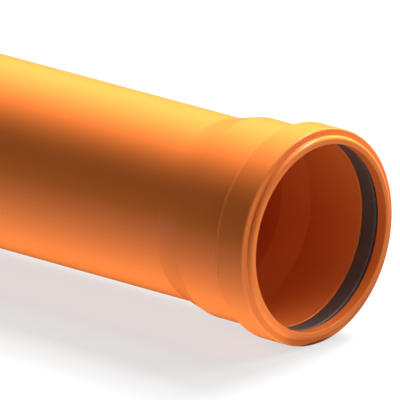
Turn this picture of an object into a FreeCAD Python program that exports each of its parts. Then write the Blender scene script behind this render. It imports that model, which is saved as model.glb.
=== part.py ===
"""Polypropylene sewer pipe with a belled socket and the rubber ring that seals it.

One length of orange drain pipe. One end is a plain spigot with a lead-in chamfer. The other end is belled
out into a socket: a flare, a sleeve that takes the next pipe's spigot, a wider bead that holds the ring
in its groove, and a raised lip round the mouth.

Frame, in millimetres: +X runs along the pipe's axis and out of the mouth, +Z is up, and the origin is on
the axis at the mouth's front. The pipe lies level, so the floor is the bead's radius below the axis.
"""
import FreeCAD
import Part

import math
import os

# ---- the barrel
pipe_outer_diameter = 110.0
wall_thickness = 3.4
laying_length = 500.0  # from the spigot's end to the socket's stop
chamfer_length = 6.0  # lead-in at the spigot's end
chamfer_angle = 15.0  # degrees from the axis

# ---- the socket, with lengths along the axis
spigot_clearance = 1.2  # radial, between the next pipe's spigot and the sleeve
flare_length = 19.2  # from the barrel up to the sleeve
sleeve_length = 31.4  # from the flare to the bead's slope
bead_slope_length = 5.7
bead_length = 19.0  # the widest stretch, up to the shoulder
mouth_clearance = 0.35  # radial, between the next pipe's spigot and the mouth

# ---- the groove inside the bead
groove_depth = 4.65  # radial, below the sleeve's wall
groove_width = 13.4
groove_front_wall = 4.2  # along the axis, from the lip's foot to the groove

# ---- the shoulder and the lip round the mouth
shoulder_drop = 0.5  # how far the shoulder falls back from the lip's foot to the bead
lip_height = 2.6  # how far the lip stands in front of its foot
lip_foot_thickness = 4.85  # radial
lip_crown_thickness = 4.35  # radial

# ---- the sealing ring
ring_seat_gap = 0.2  # radial, between the ring's back and the groove
ring_rear_gap = 0.5  # along the axis, between the ring and the groove's rear wall
ring_front_gap = 0.5  # along the axis, between the ring and the groove's front wall
ring_nose_setback = 1.5  # along the axis, from the ring's front to the nose of its inner band
ring_band_thickness = 1.8  # radial, from the nose's inside out to the setback
ring_nose_recess = 0.45  # radial, from the mouth's wall out to the ring's front edge
ring_heel_recess = 0.1  # radial, from the sleeve's wall out to the ring's rear edge

# ---- roundings, each the radius of an arc in the section
mouth_rounding = 0.6
crown_rounding = 2.2
lip_foot_rounding = 0.3
shoulder_rounding = 1.2
bead_rounding = 0.8
bead_foot_rounding = 0.8
sleeve_rounding = 2.5
flare_foot_rounding = 2.5
groove_edge_rounding = 0.6
groove_corner_rounding = 0.8
ring_nose_rounding = 1.2
ring_edge_rounding = 0.8
ring_step_rounding = 0.4

# ---- radii that follow from the sizes above
barrel_outer = pipe_outer_diameter / 2
barrel_inner = barrel_outer - wall_thickness
sleeve_inner = barrel_outer + spigot_clearance
sleeve_outer = sleeve_inner + wall_thickness
groove_radius = sleeve_inner + groove_depth
bead_outer = groove_radius + wall_thickness
mouth_radius = barrel_outer + mouth_clearance
lip_foot_radius = mouth_radius + lip_foot_thickness
lip_crown_radius = mouth_radius + lip_crown_thickness

# ---- depths behind the mouth's front, along the axis
lip_foot_depth = lip_height
bead_front_depth = lip_foot_depth + shoulder_drop
bead_rear_depth = bead_front_depth + bead_length
sleeve_front_depth = bead_rear_depth + bead_slope_length
stop_depth = sleeve_front_depth + sleeve_length
flare_end_depth = stop_depth + flare_length
spigot_depth = stop_depth + laying_length
groove_front_depth = lip_foot_depth + groove_front_wall
groove_rear_depth = groove_front_depth + groove_width


def section_point(depth, radius):
    """A point of the half section above the axis, at a depth behind the mouth's front."""
    return FreeCAD.Vector(-depth, 0, radius)


def corner_arc(before, corner, after, rounding):
    """The arc that rounds a corner, tangent to both of its straight sides, as its start, middle and end."""
    to_before = (before - corner).normalize()
    to_after = (after - corner).normalize()
    half_angle = to_before.getAngle(to_after) / 2
    reach = rounding / math.tan(half_angle)
    bisector = (to_before + to_after).normalize()
    centre = corner + bisector * (rounding / math.sin(half_angle))
    middle = centre - bisector * rounding
    return corner + to_before * reach, middle, corner + to_after * reach


def rounded_face(corners):
    """A flat face inside a closed outline of (depth, radius, rounding) corners."""
    points = [section_point(depth, radius) for depth, radius, _ in corners]
    arcs = []
    for i, (_, _, rounding) in enumerate(corners):
        before, corner, after = points[i - 1], points[i], points[(i + 1) % len(points)]
        arcs.append(corner_arc(before, corner, after, rounding) if rounding else (corner, None, corner))
    edges = []
    for i, (start, middle, end) in enumerate(arcs):
        if middle:
            edges.append(Part.Arc(start, middle, end).toShape())
        next_start = arcs[(i + 1) % len(arcs)][0]
        edges.append(Part.LineSegment(end, next_start).toShape())
    return Part.Face(Part.Wire(edges))


def turned(corners):
    """The solid that an outline sweeps in one turn about the pipe's axis."""
    mouth_centre = FreeCAD.Vector(0, 0, 0)
    along_axis = FreeCAD.Vector(1, 0, 0)
    full_turn = 360
    return rounded_face(corners).revolve(mouth_centre, along_axis, full_turn)


def pipe():
    """Barrel and socket in one piece: the wall's outside from mouth to spigot, then its inside back."""
    chamfer_drop = chamfer_length * math.tan(math.radians(chamfer_angle))
    # Parallel walls meet a little further along on the inside of the flare's two bends.
    flare_angle = math.atan2(sleeve_outer - barrel_outer, flare_length)
    bend_shift = wall_thickness * math.tan(flare_angle / 2)
    outside = [
        (0, mouth_radius, mouth_rounding),
        (0, lip_crown_radius, crown_rounding),
        (lip_foot_depth, lip_foot_radius, lip_foot_rounding),
        (bead_front_depth, bead_outer, shoulder_rounding),
        (bead_rear_depth, bead_outer, bead_rounding),
        (sleeve_front_depth, sleeve_outer, bead_foot_rounding),
        (stop_depth, sleeve_outer, sleeve_rounding),
        (flare_end_depth, barrel_outer, flare_foot_rounding),
        (spigot_depth - chamfer_length, barrel_outer, 0),
        (spigot_depth, barrel_outer - chamfer_drop, 0),
    ]
    inside = [
        (spigot_depth, barrel_inner, 0),
        (flare_end_depth + bend_shift, barrel_inner, flare_foot_rounding),
        (stop_depth + bend_shift, sleeve_inner, sleeve_rounding),
        (groove_rear_depth, sleeve_inner, groove_edge_rounding),
        (groove_rear_depth, groove_radius, groove_corner_rounding),
        (groove_front_depth, groove_radius, groove_corner_rounding),
        (groove_front_depth, mouth_radius, mouth_rounding),
    ]
    return turned(outside + inside)


def sealing_ring():
    """The rubber ring: it fills the groove, and its inner band has a nose set back from its front."""
    front = groove_front_depth + ring_front_gap
    rear = groove_rear_depth - ring_rear_gap
    back = groove_radius - ring_seat_gap
    nose_depth = front + ring_nose_setback
    nose_radius = mouth_radius + ring_nose_recess
    step_radius = nose_radius + ring_band_thickness
    return turned([
        (front, step_radius, ring_edge_rounding),
        (front, back, ring_edge_rounding),
        (rear, back, ring_edge_rounding),
        (rear, sleeve_inner + ring_heel_recess, ring_edge_rounding),
        (nose_depth, nose_radius, ring_nose_rounding),
        (nose_depth, step_radius, ring_step_rounding),
    ])


os.makedirs("parts", exist_ok=True)
for name, shape in {"pipe": pipe(), "sealing_ring": sealing_ring()}.items():
    shape.exportStep(f"parts/{name}.step")
    print(f"{name}: volume {shape.Volume / 1000:.1f} cm3, valid {shape.isValid()}, solids {len(shape.Solids)}")
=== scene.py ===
"""The looks of a socketed sewer pipe: orange polypropylene with a dark rubber ring, on a pale studio floor.

The pipe lies level along X with its mouth at +X. Both pieces are surfaces of revolution: a closed outline
of the wall, with every corner rounded by an arc, is carried once round the pipe's axis.
Depths are measured along the axis, backwards from the mouth's front.
"""

import logging
import math
from dataclasses import dataclass
from enum import Enum

import bpy
import numpy as np
from mathutils import Matrix, Vector


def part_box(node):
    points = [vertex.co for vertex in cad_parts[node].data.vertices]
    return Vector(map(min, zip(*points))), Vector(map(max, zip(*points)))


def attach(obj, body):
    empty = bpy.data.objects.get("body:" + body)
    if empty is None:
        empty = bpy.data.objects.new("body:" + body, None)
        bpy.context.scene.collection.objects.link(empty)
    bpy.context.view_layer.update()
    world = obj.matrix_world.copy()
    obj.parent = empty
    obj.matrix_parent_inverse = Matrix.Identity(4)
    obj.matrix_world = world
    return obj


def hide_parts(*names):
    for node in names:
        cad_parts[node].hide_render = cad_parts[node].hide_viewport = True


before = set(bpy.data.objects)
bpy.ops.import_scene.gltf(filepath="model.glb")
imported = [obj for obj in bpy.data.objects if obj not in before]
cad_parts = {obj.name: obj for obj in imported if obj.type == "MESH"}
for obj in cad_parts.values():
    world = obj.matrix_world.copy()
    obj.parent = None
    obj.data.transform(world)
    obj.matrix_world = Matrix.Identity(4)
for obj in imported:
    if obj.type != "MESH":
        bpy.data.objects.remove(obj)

logging.basicConfig(level=logging.INFO, format="%(name)s: %(message)s")
log = logging.getLogger("sewer_pipe")

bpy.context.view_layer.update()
MM = 0.001
Colour = tuple[float, float, float]


# ---------------------------------------------------------------- outlines


@dataclass(frozen=True)
class Corner:
    """A corner of a section's outline, in millimetres.

    Attributes:
        depth: Distance behind the mouth's front.
        radius: Distance from the pipe's axis.
        rounding: Radius of the arc that rounds the corner.
    """

    depth: float
    radius: float
    rounding: float


@dataclass(frozen=True)
class SectionPoints:
    """Points along a rounded outline, as whole arrays in metres.

    Attributes:
        depth: Depth of each point.
        radius: Distance of each point from the axis.
        normal: Unit normals that point out of the material, as (depth, radius) pairs.
        edge: 1 half-way round an outer edge, falling to 0 on flat stretches and in hollows.
    """

    depth: np.ndarray
    radius: np.ndarray
    normal: np.ndarray
    edge: np.ndarray


@dataclass(frozen=True)
class Outline:
    """A closed outline that runs clockwise, with depth to the right and radius upwards."""

    corners: tuple[Corner, ...]
    arc_steps: int = 9
    longest_side: float = 24.0

    def points(self) -> SectionPoints:
        """Round each corner by an arc that is tangent to both of its sides.

        Take unit vectors from a corner to its two neighbours, and half the angle between them, h. The arc
        of radius q has its centre on their bisector, at q / sin h from the corner. Its normals turn evenly
        from the first side's normal to the second's, and a point is the centre plus q times the normal, or
        minus it in a hollow. Long sides are divided evenly.

        Returns:
            The points in order, with exact normals.
        """
        corner = np.array([(c.depth, c.radius) for c in self.corners])
        rounding = np.array([c.rounding for c in self.corners])
        to_before = self._unit(np.roll(corner, 1, axis=0) - corner)
        to_after = self._unit(np.roll(corner, -1, axis=0) - corner)
        half_angle = np.arccos(np.clip((to_before * to_after).sum(1), -1, 1)) / 2
        centre = corner + self._unit(to_before + to_after) * (rounding / np.sin(half_angle))[:, None]
        right_turn = to_before[:, 0] * to_after[:, 1] - to_before[:, 1] * to_after[:, 0]
        outer = np.sign(right_turn)

        share = np.linspace(0, 1, self.arc_steps)
        first_normal = np.stack([to_before[:, 1], -to_before[:, 0]], axis=1)
        swing = ((2 * half_angle - np.pi) * outer)[:, None] * share
        cos, sin = np.cos(swing), np.sin(swing)
        normal = np.stack(
            [
                first_normal[:, :1] * cos - first_normal[:, 1:] * sin,
                first_normal[:, :1] * sin + first_normal[:, 1:] * cos,
            ],
            axis=-1,
        )
        arc = centre[:, None] + normal * (rounding * outer)[:, None, None]
        edge = np.clip(outer, 0, 1)[:, None] * np.sin(np.pi * share)

        place, normals, edges = [], [], []
        for i, following in enumerate(np.roll(arc, -1, axis=0)[:, 0]):
            start = arc[i, -1]
            pieces = math.ceil(np.linalg.norm(following - start) / self.longest_side)
            along = np.linspace(0, 1, pieces + 1)[1:-1, None]
            place += [arc[i], start + (following - start) * along]
            normals += [normal[i], np.repeat(normal[i, -1:], len(along), axis=0)]
            edges += [edge[i], np.zeros(len(along))]
        place = np.concatenate(place) * MM
        return SectionPoints(place[:, 0], place[:, 1], np.concatenate(normals), np.concatenate(edges))

    @staticmethod
    def _unit(vectors: np.ndarray) -> np.ndarray:
        """The vectors, each scaled to length 1."""
        return vectors / np.linalg.norm(vectors, axis=1, keepdims=True)


# ---------------------------------------------------------------- pieces


@dataclass(frozen=True)
class TurnedPiece:
    """A piece whose outline is carried once round the pipe's axis.

    Attributes:
        name: The piece's name.
        node: The CAD node that it stands for.
        slot: The record's material slot that stands for its finish; it is not used.
        outline: Its section.
        sides: Steps round the turn.
    """

    name: str
    node: str
    slot: str
    outline: Outline
    sides: int = 288

    def build(self, mouth_x: float, material: bpy.types.Material) -> bpy.types.Object:
        """Make the piece, dress it and hang it in the frame.

        A point at depth d, radius r and angle a round the axis lies at (mouth_x - d, r sin a, r cos a).

        Args:
            mouth_x: Where the mouth's front lies on X.
            material: The piece's finish.

        Returns:
            The finished object.
        """
        section = self.outline.points()
        rows = len(section.depth)
        angle = np.linspace(0, 2 * np.pi, self.sides, endpoint=False)
        around = np.stack([np.sin(angle), np.cos(angle)], axis=1)
        place = self._carried(mouth_x - section.depth, section.radius, around)
        normal = self._carried(-section.normal[:, 0], section.normal[:, 1], around)

        row = np.arange(rows)[:, None]
        column = np.arange(self.sides)[None, :]
        next_row, next_column = (row + 1) % rows, (column + 1) % self.sides
        corners = [(row, column), (row, next_column), (next_row, next_column), (next_row, column)]
        faces = np.stack([r * self.sides + c for r, c in corners], axis=-1).reshape(-1, 4)

        mesh = bpy.data.meshes.new(self.name)
        mesh.from_pydata(place.reshape(-1, 3), [], faces)
        mesh.shade_smooth()
        mesh.normals_split_custom_set_from_vertices(normal.reshape(-1, 3))
        rubbed = mesh.attributes.new(EDGE_ATTRIBUTE, "FLOAT", "POINT")
        rubbed.data.foreach_set("value", np.repeat(section.edge, self.sides).astype(np.float32))
        mesh.materials.append(material)
        piece = bpy.data.objects.new(self.name, mesh)
        bpy.context.scene.collection.objects.link(piece)
        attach(piece, "root")
        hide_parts(self.node)
        log.info("%s: %d points, %d faces", self.name, len(mesh.vertices), len(mesh.polygons))
        return piece

    @staticmethod
    def _carried(along: np.ndarray, across: np.ndarray, around: np.ndarray) -> np.ndarray:
        """The grid of vectors with one X per row, and a radial part turned to each column's direction."""
        radial = across[:, None, None] * around[None, :, :]
        x = np.broadcast_to(along[:, None, None], radial.shape[:2] + (1,))
        return np.concatenate([x, radial], axis=2)


@dataclass(frozen=True)
class PipeWall:
    """The barrel and the belled socket, one moulded wall. All sizes are in millimetres."""

    barrel_radius: float = 55.0
    wall: float = 3.4
    mouth_radius: float = 55.35
    lip_crown_radius: float = 59.7
    lip_foot_radius: float = 60.2
    lip_foot_depth: float = 2.6
    bead_front_depth: float = 3.1
    bead_rear_depth: float = 22.1
    sleeve_front_depth: float = 27.8
    stop_depth: float = 59.2
    flare_end_depth: float = 78.4
    sleeve_bore_radius: float = 56.2
    groove_front_depth: float = 6.8
    groove_rear_depth: float = 20.2
    groove_radius: float = 60.85
    chamfer_length: float = 6.0
    chamfer_angle: float = math.radians(15.0)
    mouth_rounding: float = 0.6
    crown_rounding: float = 2.2
    lip_foot_rounding: float = 0.3
    shoulder_rounding: float = 1.2
    bead_rounding: float = 0.8
    flare_rounding: float = 2.5
    groove_edge_rounding: float = 0.6
    groove_corner_rounding: float = 0.8
    cut_edge_rounding: float = 0.25

    def outline(self, length: float) -> Outline:
        """The wall's section: the outside from mouth to spigot, then the inside back to the mouth.

        Args:
            length: From the mouth's front to the spigot's end.

        Returns:
            The closed outline.
        """
        sleeve = self.sleeve_bore_radius + self.wall
        bore = self.barrel_radius - self.wall
        bead = self.groove_radius + self.wall
        flare = math.atan2(sleeve - self.barrel_radius, self.flare_end_depth - self.stop_depth)
        bend_shift = self.wall * math.tan(flare / 2)
        chamfer_drop = self.chamfer_length * math.tan(self.chamfer_angle)
        return Outline(
            (
                Corner(0, self.mouth_radius, self.mouth_rounding),
                Corner(0, self.lip_crown_radius, self.crown_rounding),
                Corner(self.lip_foot_depth, self.lip_foot_radius, self.lip_foot_rounding),
                Corner(self.bead_front_depth, bead, self.shoulder_rounding),
                Corner(self.bead_rear_depth, bead, self.bead_rounding),
                Corner(self.sleeve_front_depth, sleeve, self.bead_rounding),
                Corner(self.stop_depth, sleeve, self.flare_rounding),
                Corner(self.flare_end_depth, self.barrel_radius, self.flare_rounding),
                Corner(length - self.chamfer_length, self.barrel_radius, self.cut_edge_rounding),
                Corner(length, self.barrel_radius - chamfer_drop, self.cut_edge_rounding),
                Corner(length, bore, self.cut_edge_rounding),
                Corner(self.flare_end_depth + bend_shift, bore, self.flare_rounding),
                Corner(self.stop_depth + bend_shift, self.sleeve_bore_radius, self.flare_rounding),
                Corner(self.groove_rear_depth, self.sleeve_bore_radius, self.groove_edge_rounding),
                Corner(self.groove_rear_depth, self.groove_radius, self.groove_corner_rounding),
                Corner(self.groove_front_depth, self.groove_radius, self.groove_corner_rounding),
                Corner(self.groove_front_depth, self.mouth_radius, self.mouth_rounding),
            )
        )


@dataclass(frozen=True)
class SealingRing:
    """The rubber ring in the bead's groove. All sizes are in millimetres."""

    front_depth: float = 7.3
    nose_depth: float = 8.8
    rear_depth: float = 19.7
    nose_radius: float = 55.8
    step_radius: float = 57.6
    heel_radius: float = 56.3
    back_radius: float = 60.65
    edge_rounding: float = 0.8
    nose_rounding: float = 1.2
    step_rounding: float = 0.4

    def outline(self) -> Outline:
        """The ring's section: it fills the groove, and its inner band has a nose set back from its front."""
        return Outline(
            (
                Corner(self.front_depth, self.step_radius, self.edge_rounding),
                Corner(self.front_depth, self.back_radius, self.edge_rounding),
                Corner(self.rear_depth, self.back_radius, self.edge_rounding),
                Corner(self.rear_depth, self.heel_radius, self.edge_rounding),
                Corner(self.nose_depth, self.nose_radius, self.nose_rounding),
                Corner(self.nose_depth, self.step_radius, self.step_rounding),
            )
        )


# ---------------------------------------------------------------- shader groups and finishes

EDGE_ATTRIBUTE = "rubbed_edge"
BREAKS_PER_PATCH = 8  # how much finer a rubbed edge is broken up than the patches of the finish


class Socket(Enum):
    """The kinds of socket that the shader groups have."""

    NUMBER = "NodeSocketFloat"
    VECTOR = "NodeSocketVector"


class ShaderTree:
    """A node tree with short calls to add nodes and join them."""

    def __init__(self, tree: bpy.types.NodeTree) -> None:
        """Start from an empty tree."""
        self.tree = tree
        tree.nodes.clear()

    def add(self, kind: str, settings: dict | None = None, **inputs: object) -> bpy.types.Node:
        """Add a node.

        Args:
            kind: The node's type, without its ShaderNode prefix.
            settings: Properties of the node.
            inputs: A value or an output socket for each input, with _ for a space in its name.

        Returns:
            The new node.
        """
        prefix = "" if kind.startswith("NodeGroup") else "ShaderNode"
        node = self.tree.nodes.new(prefix + kind)
        for name, value in (settings or {}).items():
            setattr(node, name, value)
        for name, value in inputs.items():
            self.feed(node.inputs[name.replace("_", " ")], value)
        return node

    def feed(self, socket: bpy.types.NodeSocket, value: object) -> None:
        """Join an output to the socket, or set the socket's own value."""
        if isinstance(value, bpy.types.NodeSocket):
            self.tree.links.new(value, socket)
        else:
            socket.default_value = value

    def math(self, operation: str, first: object, second: object = 0.0) -> bpy.types.NodeSocket:
        """The result of a Math node."""
        node = self.add("Math", {"operation": operation})
        self.feed(node.inputs[0], first)
        self.feed(node.inputs[1], second)
        return node.outputs[0]

    def between(self, factor: object, low: object, high: object) -> bpy.types.NodeSocket:
        """A number or a colour that goes from low to high with the factor."""
        is_colour = isinstance(high, tuple)
        node = self.add("Mix", {"data_type": "RGBA" if is_colour else "FLOAT"})
        first = 6 if is_colour else 2
        self.feed(node.inputs[0], factor)
        self.feed(node.inputs[first], (*low, 1.0) if is_colour else low)
        self.feed(node.inputs[first + 1], (*high, 1.0) if is_colour else high)
        return node.outputs[2 if is_colour else 0]


def make_group(name: str, inputs: dict[str, Socket], outputs: dict[str, Socket]) -> bpy.types.NodeTree:
    """An empty shader group with named sockets.

    Args:
        name: The group's name.
        inputs: Name and kind of each input.
        outputs: Name and kind of each output.

    Returns:
        The group's node tree.
    """
    tree = bpy.data.node_groups.new(name, "ShaderNodeTree")
    for direction, sockets in (("INPUT", inputs), ("OUTPUT", outputs)):
        for socket_name, kind in sockets.items():
            tree.interface.new_socket(name=socket_name, in_out=direction, socket_type=kind.value)
    return tree


def drawn_surface_group() -> bpy.types.NodeTree:
    """Fine lines along the stretch of a drawn surface, with a grain and slow patches over them.

    The position is scaled down along X, so that noise read there runs in lines along the axis.
    """
    tree = make_group(
        "drawn_surface",
        {
            "Position": Socket.VECTOR,
            "Stretch": Socket.NUMBER,
            "Line Scale": Socket.NUMBER,
            "Grain Scale": Socket.NUMBER,
            "Patch Scale": Socket.NUMBER,
        },
        {"Lines": Socket.NUMBER, "Grain": Socket.NUMBER, "Patches": Socket.NUMBER},
    )
    nodes = ShaderTree(tree)
    given = nodes.add("NodeGroupInput").outputs
    squeeze = nodes.add("CombineXYZ", X=given["Stretch"], Y=1.0, Z=1.0).outputs[0]
    drawn = nodes.add("VectorMath", {"operation": "MULTIPLY"})
    nodes.feed(drawn.inputs[0], given["Position"])
    nodes.feed(drawn.inputs[1], squeeze)
    lines = nodes.add(
        "TexNoise", Vector=drawn.outputs[0], Scale=given["Line Scale"], Detail=3.0, Roughness=0.6
    )
    grain = nodes.add(
        "TexNoise", Vector=given["Position"], Scale=given["Grain Scale"], Detail=2.0, Roughness=0.5
    )
    patches = nodes.add(
        "TexNoise", Vector=given["Position"], Scale=given["Patch Scale"], Detail=2.0, Roughness=0.55
    )
    result = nodes.add("NodeGroupOutput")
    nodes.feed(result.inputs["Lines"], lines.outputs[0])
    nodes.feed(result.inputs["Grain"], grain.outputs[0])
    nodes.feed(result.inputs["Patches"], patches.outputs[0])
    return tree


def rubbed_edge_group() -> bpy.types.NodeTree:
    """A mask of where an outer edge has been rubbed, broken up by a noise."""
    tree = make_group(
        "rubbed_edge",
        {"Position": Socket.VECTOR, "Edge": Socket.NUMBER, "Break Scale": Socket.NUMBER},
        {"Rubbed": Socket.NUMBER},
    )
    nodes = ShaderTree(tree)
    given = nodes.add("NodeGroupInput").outputs
    broken = nodes.add("TexNoise", Vector=given["Position"], Scale=given["Break Scale"], Detail=4.0)
    patchy = nodes.add("MapRange", Value=broken.outputs[0], From_Min=0.35, From_Max=0.7)
    result = nodes.add("NodeGroupOutput")
    nodes.feed(result.inputs["Rubbed"], nodes.math("MULTIPLY", given["Edge"], patchy.outputs[0]))
    return tree


@dataclass(frozen=True)
class Finish:
    """A moulded or extruded surface: its colours, its shine and how uneven both are.

    Attributes:
        name: The material's name.
        light: Linear colour of the lighter patches.
        dark: Linear colour of the darker patches.
        worn: Linear colour where an edge is rubbed.
        smooth: Roughness where the surface is smoothest.
        rough: Roughness where it is dullest.
        stretch: How much shorter than wide the noise is along X, so 1 gives no lines.
        line_scale: Lines per metre, roughly.
        grain_scale: Grains per metre, roughly.
        patch_scale: Patches per metre, roughly.
        line_height: Height of the lines, in metres.
        grain_height: Height of the grain, in metres.
        specular: The shader's specular level.
    """

    name: str
    light: Colour
    dark: Colour
    worn: Colour
    smooth: float
    rough: float
    stretch: float
    line_scale: float
    grain_scale: float
    patch_scale: float
    line_height: float
    grain_height: float
    specular: float

    def material(self, surface: bpy.types.NodeTree, edges: bpy.types.NodeTree) -> bpy.types.Material:
        """Build the finish.

        Args:
            surface: The drawn surface group.
            edges: The rubbed edge group.

        Returns:
            The material.
        """
        material = bpy.data.materials.new(self.name)
        material.use_nodes = True
        nodes = ShaderTree(material.node_tree)
        position = nodes.add("TexCoord").outputs["Object"]
        uneven = nodes.add(
            "Group",
            {"node_tree": surface},
            Position=position,
            Stretch=self.stretch,
            Line_Scale=self.line_scale,
            Grain_Scale=self.grain_scale,
            Patch_Scale=self.patch_scale,
        ).outputs
        edge = nodes.add("Attribute", {"attribute_name": EDGE_ATTRIBUTE}).outputs["Fac"]
        rubbed = nodes.add(
            "Group",
            {"node_tree": edges},
            Position=position,
            Edge=edge,
            Break_Scale=self.patch_scale * BREAKS_PER_PATCH,
        ).outputs["Rubbed"]
        tone = nodes.math("MULTIPLY", nodes.math("ADD", uneven["Patches"], uneven["Lines"]), 0.5)
        body = nodes.between(tone, self.dark, self.light)
        colour = nodes.add("Mix", {"data_type": "RGBA"})
        nodes.feed(colour.inputs[0], rubbed)
        nodes.feed(colour.inputs[6], body)
        nodes.feed(colour.inputs[7], (*self.worn, 1.0))
        lines = nodes.add("Bump", Height=uneven["Lines"], Distance=self.line_height)
        grain = nodes.add(
            "Bump", Height=uneven["Grain"], Distance=self.grain_height, Normal=lines.outputs[0]
        )
        shader = nodes.add(
            "BsdfPrincipled",
            Base_Color=colour.outputs[2],
            Roughness=nodes.between(uneven["Patches"], self.smooth, self.rough),
            Normal=grain.outputs[0],
        )
        shader.inputs["Specular IOR Level"].default_value = self.specular
        out = nodes.add("OutputMaterial")
        nodes.feed(out.inputs["Surface"], shader.outputs[0])
        return material


PIPE_PLASTIC = Finish(
    name="orange_polypropylene",
    light=(0.94, 0.232, 0.046),
    dark=(0.91, 0.216, 0.041),
    worn=(0.95, 0.25, 0.055),
    smooth=0.14,
    rough=0.20,
    stretch=0.02,
    line_scale=700.0,
    grain_scale=2500.0,
    patch_scale=25.0,
    line_height=0.000006,
    grain_height=0.000004,
    specular=0.5,
)

SEAL_RUBBER = Finish(
    name="black_seal_rubber",
    light=(0.130, 0.108, 0.097),
    dark=(0.095, 0.078, 0.070),
    worn=(0.170, 0.150, 0.140),
    smooth=0.42,
    rough=0.58,
    stretch=1.0,
    line_scale=900.0,
    grain_scale=3500.0,
    patch_scale=60.0,
    line_height=0.00001,
    grain_height=0.00001,
    specular=0.5,
)


# ---------------------------------------------------------------- studio


class Reflected(Enum):
    """Whether a lamp also shows as a highlight in shiny surfaces."""

    YES = True
    NO = False


@dataclass(frozen=True)
class Softbox:
    """A rectangular lamp.

    Attributes:
        name: The lamp's name.
        place: Its middle, in metres.
        facing: The direction that it shines in.
        length: Size along X, in metres.
        width: Size across, in metres.
        power: Watts.
        reflected: Whether it gives highlights.
    """

    name: str
    place: Vector
    facing: Vector
    length: float
    width: float
    power: float
    reflected: Reflected

    def build(self) -> None:
        """Make the lamp, with its length as nearly along X as its direction allows."""
        back = -self.facing.normalized()
        along = Vector((1.0, 0.0, 0.0))
        along = (along - back * back.dot(along)).normalized()
        data = bpy.data.lights.new(self.name, "AREA")
        data.shape = "RECTANGLE"
        data.size, data.size_y = self.length, self.width
        data.energy = self.power
        lamp = bpy.data.objects.new(self.name, data)
        turned = Matrix((along, back.cross(along), back)).transposed().to_4x4()
        lamp.matrix_world = Matrix.Translation(self.place) @ turned
        lamp.visible_camera = False
        lamp.visible_glossy = self.reflected.value
        bpy.context.scene.collection.objects.link(lamp)


def towards(azimuth: float, elevation: float) -> Vector:
    """The direction at an azimuth round Z, from -Y towards +X, and an elevation, both in degrees."""
    turn, rise = math.radians(azimuth), math.radians(elevation)
    return Vector((math.sin(turn) * math.cos(rise), -math.cos(turn) * math.cos(rise), math.sin(rise)))


@dataclass(frozen=True)
class LampBank:
    """Lamps of one size that shine at one point from one distance.

    Attributes:
        target_x: Where the point lies on the pipe's axis.
        distance: From the point to each lamp's middle.
        length: Size of a lamp along X.
        width: Size of a lamp across.
    """

    target_x: float
    distance: float
    length: float
    width: float

    def lamp(
        self, name: str, azimuth: float, elevation: float, power: float, reflected: Reflected
    ) -> Softbox:
        """One lamp of the bank.

        Args:
            name: The lamp's name.
            azimuth: Its direction from the target round Z, in degrees.
            elevation: Its height above level, in degrees.
            power: Watts.
            reflected: Whether it gives highlights.

        Returns:
            The lamp, not yet built.
        """
        away = towards(azimuth, elevation)
        place = Vector((self.target_x, 0.0, 0.0)) + away * self.distance
        return Softbox(name, place, -away, self.length, self.width, power, reflected)


@dataclass(frozen=True)
class FloorLamps:
    """Lamps that lie just over the floor along the pipe's near side and shine upwards.

    Attributes:
        middle_x: Where their middles lie on X.
        length: Their size along X.
        lift: Their height above the floor.
    """

    middle_x: float = -0.1
    length: float = 1.4
    lift: float = 0.002

    def lamp(self, name: str, near: float, far: float, power: float, floor_height: float) -> Softbox:
        """One lamp, from one distance in front of the axis to another.

        Args:
            name: The lamp's name.
            near: Distance from below the axis to the lamp's near side, towards -Y.
            far: Distance to its far side.
            power: Watts.
            floor_height: Z of the floor.

        Returns:
            The lamp, not yet built.
        """
        place = Vector((self.middle_x, -(near + far) / 2, floor_height + self.lift))
        upwards = Vector((0.0, 0.0, 1.0))
        return Softbox(name, place, upwards, self.length, far - near, power, Reflected.NO)


BARREL_BANK = LampBank(target_x=-0.35, distance=1.6, length=0.6, width=0.5)
MOUTH_BANK = LampBank(target_x=0.0, distance=0.9, length=0.35, width=0.35)
RIM_BANK = LampBank(target_x=0.3, distance=0.8, length=0.5, width=0.25)
BEHIND = 180.0  # azimuth of the lamps in the plane across the pipe; past 90 degrees they rise over the front


def softboxes(floor_height: float) -> tuple[Softbox, ...]:
    """The lamps: broad ones round the barrel, low ones by the floor, small ones at the mouth and its rim.

    Args:
        floor_height: Z of the floor.

    Returns:
        The lamps, not yet built.
    """
    low = FloorLamps()
    return (
        BARREL_BANK.lamp("over_back", BEHIND, 55.0, 48.0, Reflected.NO),
        BARREL_BANK.lamp("back", BEHIND, 40.0, 61.0, Reflected.NO),
        BARREL_BANK.lamp("back_low", BEHIND, 25.0, 7.4, Reflected.NO),
        BARREL_BANK.lamp("overhead", BEHIND, 78.0, 7.5, Reflected.NO),
        BARREL_BANK.lamp("front", BEHIND, 160.0, 2.4, Reflected.NO),
        low.lamp("low_under", -0.03, 0.03, 0.17, floor_height),
        low.lamp("low_near", 0.03, 0.08, 0.42, floor_height),
        low.lamp("low_far", 0.08, 0.14, 0.43, floor_height),
        MOUTH_BANK.lamp("mouth", 90.0, 35.0, 0.8, Reflected.NO),
        MOUTH_BANK.lamp("mouth_high", 90.0, 65.0, 0.6, Reflected.YES),
        RIM_BANK.lamp("rim_back", BEHIND, 60.0, 3.8, Reflected.YES),
        RIM_BANK.lamp("rim_low", BEHIND, 30.0, 3.9, Reflected.NO),
    )


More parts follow.
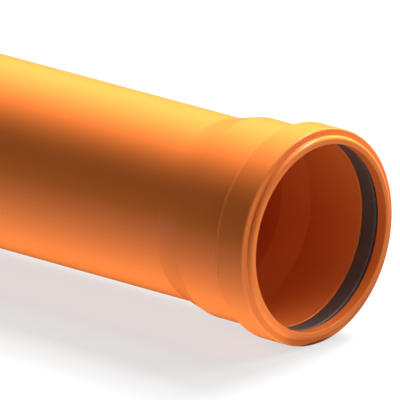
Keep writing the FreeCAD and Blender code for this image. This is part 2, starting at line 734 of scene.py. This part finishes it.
@dataclass(frozen=True)
class Studio:
    """The floor, the lamps, the surroundings and the camera.

    Attributes:
        azimuth: Camera direction round Z from -Y towards +X, in degrees.
        elevation: Camera height above level, in degrees.
        lens: Focal length, in millimetres.
        view_width: Width that the camera takes in at the rim of the socket, in metres.
        aim_depth: Depth of the point on the axis that the framing starts from.
        aim_left: How far the camera aims to the left of that point.
        aim_up: How far it aims above that point.
        floor_size: Width of the floor, in metres.
        floor_colour: The floor's linear grey as the camera sees it.
        floor_bounce: Its linear grey for the light that it sends back to the pipe.
        floor_lift: How far the camera sees the floor paled towards white.
        sensor: Width of the camera's sensor, in millimetres.
        nearest_seen: Where the camera starts to see, in metres.
        farthest_share: Where it stops, in shares of its distance.
    """

    azimuth: float = 42.85
    elevation: float = 17.15
    lens: float = 1600.0
    view_width: float = 0.2302
    aim_depth: float = 0.0045
    aim_left: float = 0.06657
    aim_up: float = 0.02129
    floor_size: float = 12.0
    floor_colour: float = 0.5
    floor_bounce: float = 0.05
    floor_lift: float = 0.65
    sensor: float = 36.0
    nearest_seen: float = 0.05
    farthest_share: float = 10.0

    def camera(self, mouth_x: float) -> None:
        """Stand the camera so that its middle ray passes beside the socket's rim, at the right scale."""
        turn = math.radians(self.azimuth)
        right = Vector((math.cos(turn), math.sin(turn), 0.0))
        back = towards(self.azimuth, self.elevation)
        up = back.cross(right)
        aim = Vector((mouth_x - self.aim_depth, 0.0, 0.0)) - right * self.aim_left + up * self.aim_up
        data = bpy.data.cameras.new("camera")
        data.lens, data.sensor_width = self.lens, self.sensor
        distance = self.view_width * self.lens / self.sensor
        data.clip_start, data.clip_end = self.nearest_seen, distance * self.farthest_share
        camera = bpy.data.objects.new("camera", data)
        camera.location = aim + back * distance
        camera.rotation_euler = back.to_track_quat("Z", "Y").to_euler()
        bpy.context.scene.collection.objects.link(camera)
        bpy.context.scene.camera = camera

    def floor(self, height: float) -> None:
        """Lay the pale floor at the height that the bead rests on."""
        half = self.floor_size / 2
        mesh = bpy.data.meshes.new("floor")
        corners = [(-half, -half, height), (half, -half, height), (half, half, height), (-half, half, height)]
        mesh.from_pydata(corners, [], [(0, 1, 2, 3)])
        material = bpy.data.materials.new("pale_floor")
        material.use_nodes = True
        nodes = ShaderTree(material.node_tree)
        seen = nodes.add("LightPath").outputs["Is Camera Ray"]
        grey = nodes.between(seen, (self.floor_bounce,) * 3, (self.floor_colour,) * 3)
        shader = nodes.add("BsdfPrincipled", Base_Color=grey, Roughness=0.9)
        shader.inputs["Specular IOR Level"].default_value = 0.0
        white = nodes.add("Emission", Strength=1.0)
        lift = nodes.math("MULTIPLY", seen, self.floor_lift)
        mixed = nodes.add("MixShader", Fac=lift)
        nodes.feed(mixed.inputs[1], shader.outputs[0])
        nodes.feed(mixed.inputs[2], white.outputs[0])
        out = nodes.add("OutputMaterial")
        nodes.feed(out.inputs["Surface"], mixed.outputs[0])
        mesh.materials.append(material)
        floor = bpy.data.objects.new("floor", mesh)
        bpy.context.scene.collection.objects.link(floor)

    def world(self) -> None:
        """White surroundings for the camera, and none for light."""
        world = bpy.data.worlds.new("studio")
        bpy.context.scene.world = world
        world.use_nodes = True
        nodes = ShaderTree(world.node_tree)
        seen = nodes.add("LightPath").outputs["Is Camera Ray"]
        background = nodes.add("Background", Color=(1.0, 1.0, 1.0, 1.0), Strength=seen)
        out = nodes.add("OutputWorld")
        nodes.feed(out.inputs["Surface"], background.outputs[0])


def main() -> None:
    """Build both pieces, the studio and the camera."""
    low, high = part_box("pipe")
    mouth_x, length = high.x, (high.x - low.x) / MM
    surface, edges = drawn_surface_group(), rubbed_edge_group()
    pieces = (
        (TurnedPiece("pipe_wall", "pipe", "pipe_plastic", PipeWall().outline(length)), PIPE_PLASTIC),
        (TurnedPiece("seal_ring", "sealing_ring", "seal_rubber", SealingRing().outline()), SEAL_RUBBER),
    )
    for piece, finish in pieces:
        piece.build(mouth_x, finish.material(surface, edges))

    studio = Studio()
    studio.floor(low.z)
    for softbox in softboxes(low.z):
        softbox.build()
    studio.world()
    studio.camera(mouth_x)
    bpy.context.scene.view_settings.view_transform = "Standard"


if __name__ == "__main__":
    main()
